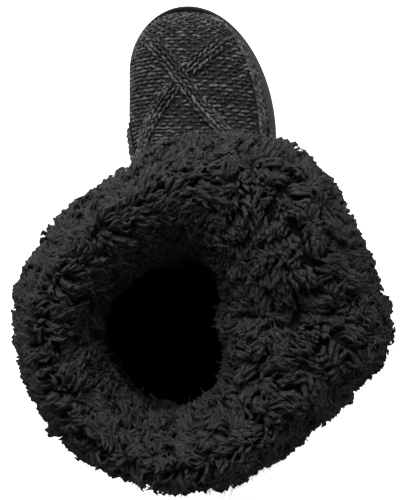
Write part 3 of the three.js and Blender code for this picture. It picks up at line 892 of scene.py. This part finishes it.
at = (place / KNIT_STEP, np.full(len(place), RIB_COLUMN * 2 * KNIT_HALF / TRELLIS_COLUMNS))
path, up = sampled(knit_surface, *at), unit(sampled(normal_grid, *at))
legs.append(legs_along(path, up, np.zeros(len(path)), np.ones(len(path)), RIB_LANES))
legs = np.concatenate(legs)
leg_size = chance.uniform(*LEG_SIZES, len(legs))
leg_half = 0.5 * LEG_LENGTH * leg_size
leg_mesh = yarn_bars(
    legs[:, 0:3],
    legs[:, 3:6],
    unit(legs[:, 6:9]),
    leg_half,
    LEG_WIDTH * leg_size,
    LEG_HEIGHT * leg_size,
    LEG_ARCH,
)
cables = array_piece("upper_cables", *leg_mesh, marl, **yarn_marl(leg_half))
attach(cables, "root")

# Cuff: a band of long-pile sherpa, folded down over the top of the shaft and sewn along the fold.
# This piece is the cloth under the pile: an outer leg, a crest with a crease on the outer side of the foot,
# and an inner leg that lines the mouth in a slack fold. The shaft's top stands in the slot between the legs.
PILE_DEPTH = 8.5
# Outline: bearing in degrees from the outer side towards the toe, and reach from the shaft's axis
CUFF_OUTLINE = [
    (-8, 88.5), (25, 82), (60, 88.5), (95, 82.5), (122, 75.5), (150, 79.5),
    (176, 87), (215, 86.5), (262, 82), (312, 74.5), (335, 79.5), (352, 88.5),
]
MOUTH = {"x": -12, "y": -4, "wide": 28, "long": 37}
# Places where the pile bulges into the mouth or leaves it wider: bearing, breadth and depth
MOUTH_BULGES = [(-15, 38, 5.5), (135, 28, 4.5), (188, 25, -5), (240, 28, -3.5), (297, 20, -4)]
LINING_FOLD = {"place": 110, "breadth": 45, "depth": 15}
CREASE = {"place": 6, "breadth": 15, "depth": 9}
# The section, up the outside, over the crest and down the mouth: share of the way from the mouth to the
# outside, how much further out, height, and shares of the crest's crease and of the lining's fold
CUFF_SECTION = [
    (1, -12, 186, 0, 0),
    (1, -2, 196, 0, 0),
    (1, 0, 222, 0, 0),
    (1, -4, 250, 0.4, 0),
    (1, -14, 270, 0.8, 0),
    (0.52, 0, 279, 1, 0),
    (0, 9, 270, 0.8, 0),
    (0, 0, 249, 0, 0),
    (0, 5, 223, 0, 0.6),
]
# The lining's foot, and then the slot round the shaft's top: reach, height and share of the lining's fold
SLOT_SECTION = [(47, 205, 1.5), (54, 205, 0), (54, 262.5, 0), (58.4, 262.5, 0), (58.4, 190, 0)]
SKIN_ROWS = len(CUFF_SECTION) + 1
PILE_END = 8.8
CUFF_BEARINGS = 120
CUFF_PLACES = 120
CLOTH_PAD = 0.6


def cuff_reach(bearing):
    places, reaches = zip(*CUFF_OUTLINE)
    turned = (bearing - places[0]) % 360 + places[0]
    k = np.clip(np.searchsorted(places, turned, side="right") - 1, 0, len(places) - 2)
    low, high = np.array(places)[k], np.array(places)[k + 1]
    return mix(np.array(reaches)[k], np.array(reaches)[k + 1], ease((turned - low) / (high - low)))


def degrees_from(bearing, place):
    return (bearing - place + 180) % 360 - 180


def swell(bearing, place, breadth, depth):
    """How much of a soft swell or dent reaches each bearing."""
    return depth * np.exp(-((degrees_from(bearing, place) / breadth) ** 2))


def mouth_reach(bearing):
    """Where each bearing from the shaft's axis meets the oval of the mouth, less the bulges of the pile."""
    c, s = np.cos(np.radians(bearing)), np.sin(np.radians(bearing))
    a = (c / MOUTH["wide"]) ** 2 + (s / MOUTH["long"]) ** 2
    b = c * MOUTH["x"] / MOUTH["wide"] ** 2 + s * MOUTH["y"] / MOUTH["long"] ** 2
    e = (MOUTH["x"] / MOUTH["wide"]) ** 2 + (MOUTH["y"] / MOUTH["long"]) ** 2 - 1
    reach = (b + np.sqrt(b * b - a * e)) / a
    return reach - sum(swell(bearing, *bulge) for bulge in MOUTH_BULGES)


def cuff_sections(bearing):
    """The cuff's section at each bearing, as rows of reach and height."""
    outside, mouth = cuff_reach(bearing) - PILE_DEPTH, mouth_reach(bearing)
    dip, slack = swell(bearing, **CREASE), swell(bearing, **LINING_FOLD)
    rows = [
        (mix(mouth, outside, share) + further - fold * slack, height - crease * dip)
        for share, further, height, crease, fold in CUFF_SECTION
    ]
    rows += [(reach - fold * slack, height + 0 * bearing) for reach, height, fold in SLOT_SECTION]
    return np.array(rows).transpose(0, 2, 1)


cuff_turns = np.arange(CUFF_BEARINGS) * 360 / CUFF_BEARINGS
cuff_rows = cuff_sections(cuff_turns)
cuff_steps = np.linspace(0, PILE_END, CUFF_PLACES)
cuff_step = cuff_steps[1]


def cuff_space(reach_height):
    turn = np.radians(cuff_turns)
    reach, height = reach_height[..., 0], reach_height[..., 1]
    return np.stack([reach * np.cos(turn), SHAFT_Y + reach * np.sin(turn), height], axis=-1)


cuff_grid = cuff_space(smooth_rows(cuff_rows[:SKIN_ROWS], cuff_steps))
cuff_along = np.gradient(cuff_grid, cuff_step, axis=0)
cuff_round = (np.roll(cuff_grid, -1, axis=1) - np.roll(cuff_grid, 1, axis=1)) / 2
cuff_out = unit(np.cross(cuff_round, cuff_along))
padded = cuff_grid[::2] + CLOTH_PAD * cuff_out[::2]
cloth_grid = np.concatenate([padded, cuff_space(cuff_rows[SKIN_ROWS:]), padded[:1]])
cuff = grid_piece(
    "cuff_cloth",
    len(cloth_grid) - 1,
    CUFF_BEARINGS,
    lambda row, column: cloth_grid[row, column],
)
# The backing is dark cloth, painted near black so that where it shows between strands it reads as the shade
# deep in the pile.
cuff.data.materials.append(fleece_material("pile_backing_painted_shade", linear(2, 2, 3), linear(10, 10, 11)))
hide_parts("cuff")
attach(cuff, "root")

# Pile: thousands of thin curled strands that stand on the cloth and cling together in clumps.
# Outside they fall down the cuff, over the crest they part, and inside they fall into the mouth.
# Each strand's colour is painted darker towards its root, as shade deep in the pile, and it is frizzy at its
# tip.
STRAND_SPACING = 1.72
STRAND_LENGTH = 12
STRAND_LENGTHS = (0.88, 1.08)
STRAND_GIRTH = 1.05
STRAND_GIRTHS = (0.75, 1.25)
STRAND_CURLS = (0.9, 1.1)
STRAND_FLATNESS = 0.85
STRAND_SIDES = 4
STRAND_RAGGED = 0.15
STRAND_ROOT = 1.2
# A strand's rings: how far along it, and how thick there
STRAND_RINGS = [(0.0, 0.8), (0.42, 1.0), (0.76, 0.75)]
STRAND_ENDS = (-0.02, 1.0)
CURL_STEPS = (np.arange(8) + 0.5) / 8
CLUMP_SPACING = 6.5
CLUMP_LENGTHS = (0.75, 1.1)
CLUMP_CURLS = (2.1, 3.6)
CLUMP_NEIGHBOURS = 7
STRAY = {"share": 0.12, "length": 0.7, "curl": 1.3}
# Places lie in rows, closer than they lie along a row, and each is a little astray both ways
ROW_SPACING = 0.87
ASTRAY_ALONG = (-0.45, 0.45)
ASTRAY_ACROSS = (-0.4, 0.4)
PLACE_MARGIN = 0.01
CREST_PLACE = 5.1
CREST_RUN = 1.2
CREST_UNCURLS = 0.4
PARTING = {"breadth": 9, "push": 0.8, "trim": 0.12}
MOUTH_TRIM = {"all_round": 0.4, "inner_side": 0.15}
# How a strand stands: to its clump's middle, with the clump's lean, off the parting, and astray
STANDS = {"middle": 0.32, "lean": 0.12, "parted": 0.2, "astray": 0.07}
# Which way it curls over: down the cuff, round it, more so on the crest, with the clump's lean, and astray
CURLS = {"fall": 0.5, "round": 0.4, "round_crest": 0.5, "lean": 0.8, "astray": 0.15}
SWAY = {"share": 0.09, "waves": 6, "starts": 6}
FIBRE = {"along": 0.35, "starts": 40}
# How high over the cloth the painted shade at the strands' roots fades out
ROOT_SHADE_HEIGHT = 5.0
PILE_PIECES = 4


def pile_places(spacing):
    """Rows and columns of the cuff's grid at about one spacing from each other, each a little astray."""
    found = []
    run = summed(lengths(np.diff(cuff_grid, axis=0)).mean(axis=1))
    for line in np.arange(spacing / 2, run[-1], spacing * ROW_SPACING):
        place = np.interp(line, run, np.arange(CUFF_PLACES))
        count = int(lengths(cuff_round[int(place)]).sum() / spacing)
        along = chance.uniform(*ASTRAY_ALONG, count)
        across = chance.uniform(*ASTRAY_ACROSS, count)
        column = (np.arange(count) + along) / count * CUFF_BEARINGS
        row = np.clip(place + across * spacing / run[-1] * CUFF_PLACES, 0, CUFF_PLACES - 1 - PLACE_MARGIN)
        found.append(np.stack([row, column % CUFF_BEARINGS]))
    return np.concatenate(found, axis=1)


def upright(vector, way):
    return unit(vector - way * (vector * way).sum(axis=1, keepdims=True))


def clump_swirl():
    """Which way each clump leans: round the tops and hollows of a random relief, so no spot is left bare."""
    found = [nearest_clump.find_n(middle, CLUMP_NEIGHBOURS) for middle in clump_middle]
    neighbours = np.array([[number for _, number, _ in near] for near in found])
    relief = chance.normal(0, 1, clump_count)
    relief = 0.5 * relief + relief[neighbours].mean(axis=1)
    step = clump_middle[neighbours[:, 1:]] - clump_middle[:, None]
    rise = relief[neighbours[:, 1:]] - relief[:, None]
    slope = (rise / (step**2).sum(axis=2))[:, :, None] * step
    return np.cross(unit(sampled(cuff_out, *clump_at)), slope.sum(axis=1)) * CLUMP_SPACING


clump_at = pile_places(CLUMP_SPACING)
clump_middle = sampled(cuff_grid, *clump_at)
clump_count = len(clump_middle)
nearest_clump = KDTree(clump_count)
for number, middle in enumerate(clump_middle):
    nearest_clump.insert(middle, number)
nearest_clump.balance()

root_at = pile_places(STRAND_SPACING)
root = sampled(cuff_grid, *root_at)
count = len(root)
clump = np.array([nearest_clump.find(point)[1] for point in root])
clump_lean = clump_swirl()[clump]
clump_length = chance.uniform(*CLUMP_LENGTHS, clump_count)[clump]
clump_curl = chance.uniform(*CLUMP_CURLS, clump_count)[clump]
clump_tone = chance.uniform(0, 1, clump_count)[clump]
from_middle = (root - clump_middle[clump]) / CLUMP_SPACING
stray = chance.uniform(0, 1, count) < STRAY["share"]
clump_lean = np.where(stray[:, None], chance.normal(0, 1, root.shape), clump_lean)
clump_length = np.where(stray, STRAY["length"], clump_length)
clump_curl = np.where(stray, STRAY["curl"], clump_curl)

out = unit(sampled(cuff_out, *root_at))
around = unit(sampled(cuff_round, *root_at))
past_crest = (root_at[0] * cuff_step - CREST_PLACE) / CREST_RUN
fall = unit(sampled(cuff_along, *root_at)) * np.clip(past_crest, -1, 1)[:, None]
into_mouth = np.clip(past_crest - 1, 0, 1)
on_crest = 1 - np.clip(np.abs(past_crest), 0, 1)
bearing = root_at[1] * 360 / CUFF_BEARINGS
aside = degrees_from(bearing, CREASE["place"])
parting = np.exp(-((aside / PARTING["breadth"]) ** 2) - past_crest**2)
parted = around * (PARTING["push"] * np.sign(aside) * parting)[:, None]
way = out - STANDS["middle"] * from_middle + STANDS["lean"] * clump_lean + STANDS["parted"] * parted
way = unit(way + STANDS["astray"] * chance.normal(0, 1, root.shape))
to_round = CURLS["round"] + CURLS["round_crest"] * on_crest
bend = CURLS["fall"] * fall - to_round[:, None] * around + CURLS["lean"] * clump_lean + parted
bend = upright(bend + CURLS["astray"] * chance.normal(0, 1, root.shape), way)
trim = into_mouth * (MOUTH_TRIM["all_round"] - MOUTH_TRIM["inner_side"] * np.cos(np.radians(bearing)))
trim = trim + PARTING["trim"] * parting
length = STRAND_LENGTH * clump_length * chance.uniform(*STRAND_LENGTHS, count) * (1 - trim)
girth = STRAND_GIRTH * chance.uniform(*STRAND_GIRTHS, count)
curl = clump_curl * chance.uniform(*STRAND_CURLS, count) * (1 - CREST_UNCURLS * on_crest)
start = root - STRAND_ROOT * out


def curl_middle(s):
    """Points along each curl's middle, and how far it has turned there: up along way, and over to bend.
    A curl winds tighter towards its tip, so its turn grows with the square of the way along it."""
    turns = curl[:, None, None] * (s[..., None] * CURL_STEPS) ** 2
    run = length[:, None] * s
    up = run * np.cos(turns).mean(axis=2)
    ahead = run * np.sin(turns).mean(axis=2)
    return start[:, None] + spread(up, way) + spread(ahead, bend), curl[:, None] * s**2


along, side_c, side_s, strand_triangles = sausage(STRAND_RINGS, STRAND_SIDES, STRAND_ENDS)
middle, angle = curl_middle(along[None])
wave = np.sin(SWAY["waves"] * along[None] + chance.uniform(0, SWAY["starts"], (count, 1)))
sway = SWAY["share"] * length[:, None] * wave
inward = girth[:, None] * side_s[None] * STRAND_FLATNESS
strands = middle + spread(girth[:, None] * side_c[None] + sway, np.cross(way, bend))
strands = strands - spread(inward * np.sin(angle), way) + spread(inward * np.cos(angle), bend)
strands = strands + chance.normal(0, STRAND_RAGGED, strands.shape) * (0.5 + along)[None, :, None]
fibre_turn = [np.broadcast_to(side, angle.shape) for side in (side_c, side_s)]
fibre_along = FIBRE["along"] * along[None] + chance.uniform(0, FIBRE["starts"], (count, 1))
strand_grain = np.stack([*fibre_turn, fibre_along], axis=2)
# Painted shade: how high each point stands over the cloth, so that strands are darker towards their roots
# deep in the pile
shade_height = (out[:, None] * (strands - root[:, None])).sum(axis=2)
shade_height = np.clip(shade_height / (ROOT_SHADE_HEIGHT * (1 - trim))[:, None], 0, 1)
strand_tone = 0.5 * clump_tone + 0.5 * chance.uniform(0, 1, count)

pile, pile_surface, spot = new_material("charcoal_pile", Specular_IOR_Level=0.1)
grain = spot.attribute("grain", "Vector")
high = spot.attribute("high")
tone = spot.attribute("tone")
streak = noise(grain, 3.2, Detail=3.0, Roughness=0.65)
frizz = noise(spot, 1300.0, Detail=3.0, Roughness=0.7)
# The 'high' attribute paints shade: the colour darkens towards the strands' roots, deep in the pile; tone,
# streak and frizz are the yarn's own.
shade = high * 0.5 + tone * 0.2 + (streak - 0.5) * 1.5 + (frizz - 0.5) * 2.2 - 0.15
feed(
    pile_surface,
    Base_Color=shade.mixed(linear(15, 15, 16), linear(60, 60, 63)),
    Roughness=0.85 + 0.15 * frizz,
    Normal=(streak * 1.5 + frizz * 1.2).bump(0.7, 0.0012),
)
for number, some in enumerate(np.array_split(np.arange(count), PILE_PIECES)):
    made = array_piece(
        f"cuff_pile_{number + 1}",
        strands[some].reshape(-1, 3),
        repeated(strand_triangles, len(some), len(along)),
        pile,
        high=shade_height[some].ravel(),
        tone=np.repeat(strand_tone[some], len(along)),
        grain=strand_grain[some].reshape(-1, 3),
    )
    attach(made, "root")

# Fuzz: fine loose fibres that stand off some of the strands and soften the cuff's outline.
# They are the ends of the same yarn, brushed out of the clumps.
FUZZ_EVERY = 4
FUZZ_LENGTH = 4.2
FUZZ_LENGTHS = (0.5, 1.2)
FUZZ_GIRTH = 0.11
FUZZ_SIDES = 3
FUZZ_RINGS = [(0.0, 1.0), (0.55, 0.8)]
# Where on its strand a fibre starts, which way it heads, and how much it bends over and is cut in the mouth
FUZZ_STARTS = (0.3, 0.85)
FUZZ_HEADS = {"onward": 0.5, "way": 0.9, "astray": 0.5}
FUZZ_BEND = 0.4
FUZZ_MOUTH_TRIM = 0.6
fuzz_along, fuzz_c, fuzz_s, fuzz_triangles = sausage(FUZZ_RINGS, FUZZ_SIDES, STRAND_ENDS)
foot, angle = curl_middle(chance.uniform(*FUZZ_STARTS, (count, 1)))
onward = (spread(np.cos(angle), way) + spread(np.sin(angle), bend))[:, 0]
heading = onward * FUZZ_HEADS["onward"] + way * FUZZ_HEADS["way"]
heading = unit(heading + chance.normal(0, FUZZ_HEADS["astray"], root.shape))
drift = unit(chance.normal(0, 1, root.shape))
flat = unit(np.cross(heading, drift))
reach = FUZZ_LENGTH * chance.uniform(*FUZZ_LENGTHS, count) * (1 - FUZZ_MOUTH_TRIM * into_mouth) + girth
reach = reach[:, None] * fuzz_along[None]
fuzz = foot + spread(reach, heading) + spread(FUZZ_BEND * reach * fuzz_along[None], drift)
fuzz = fuzz + spread(FUZZ_GIRTH * fuzz_c[None], flat)
fuzz = fuzz + spread(FUZZ_GIRTH * fuzz_s[None], np.cross(heading, flat))
fuzz = fuzz[::FUZZ_EVERY]
fuzz_grey, fuzz_surface, spot = new_material("pile_fuzz", Roughness=1.0, Specular_IOR_Level=0.1)
wisp = noise(spot, 300.0)
feed(fuzz_surface, Base_Color=wisp.mixed(linear(24, 24, 27), linear(70, 70, 75)))
fibres = array_piece(
    "cuff_fuzz",
    fuzz.reshape(-1, 3),
    repeated(fuzz_triangles, len(fuzz), len(fuzz_along)),
    fuzz_grey,
)
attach(fibres, "root")

low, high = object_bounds()
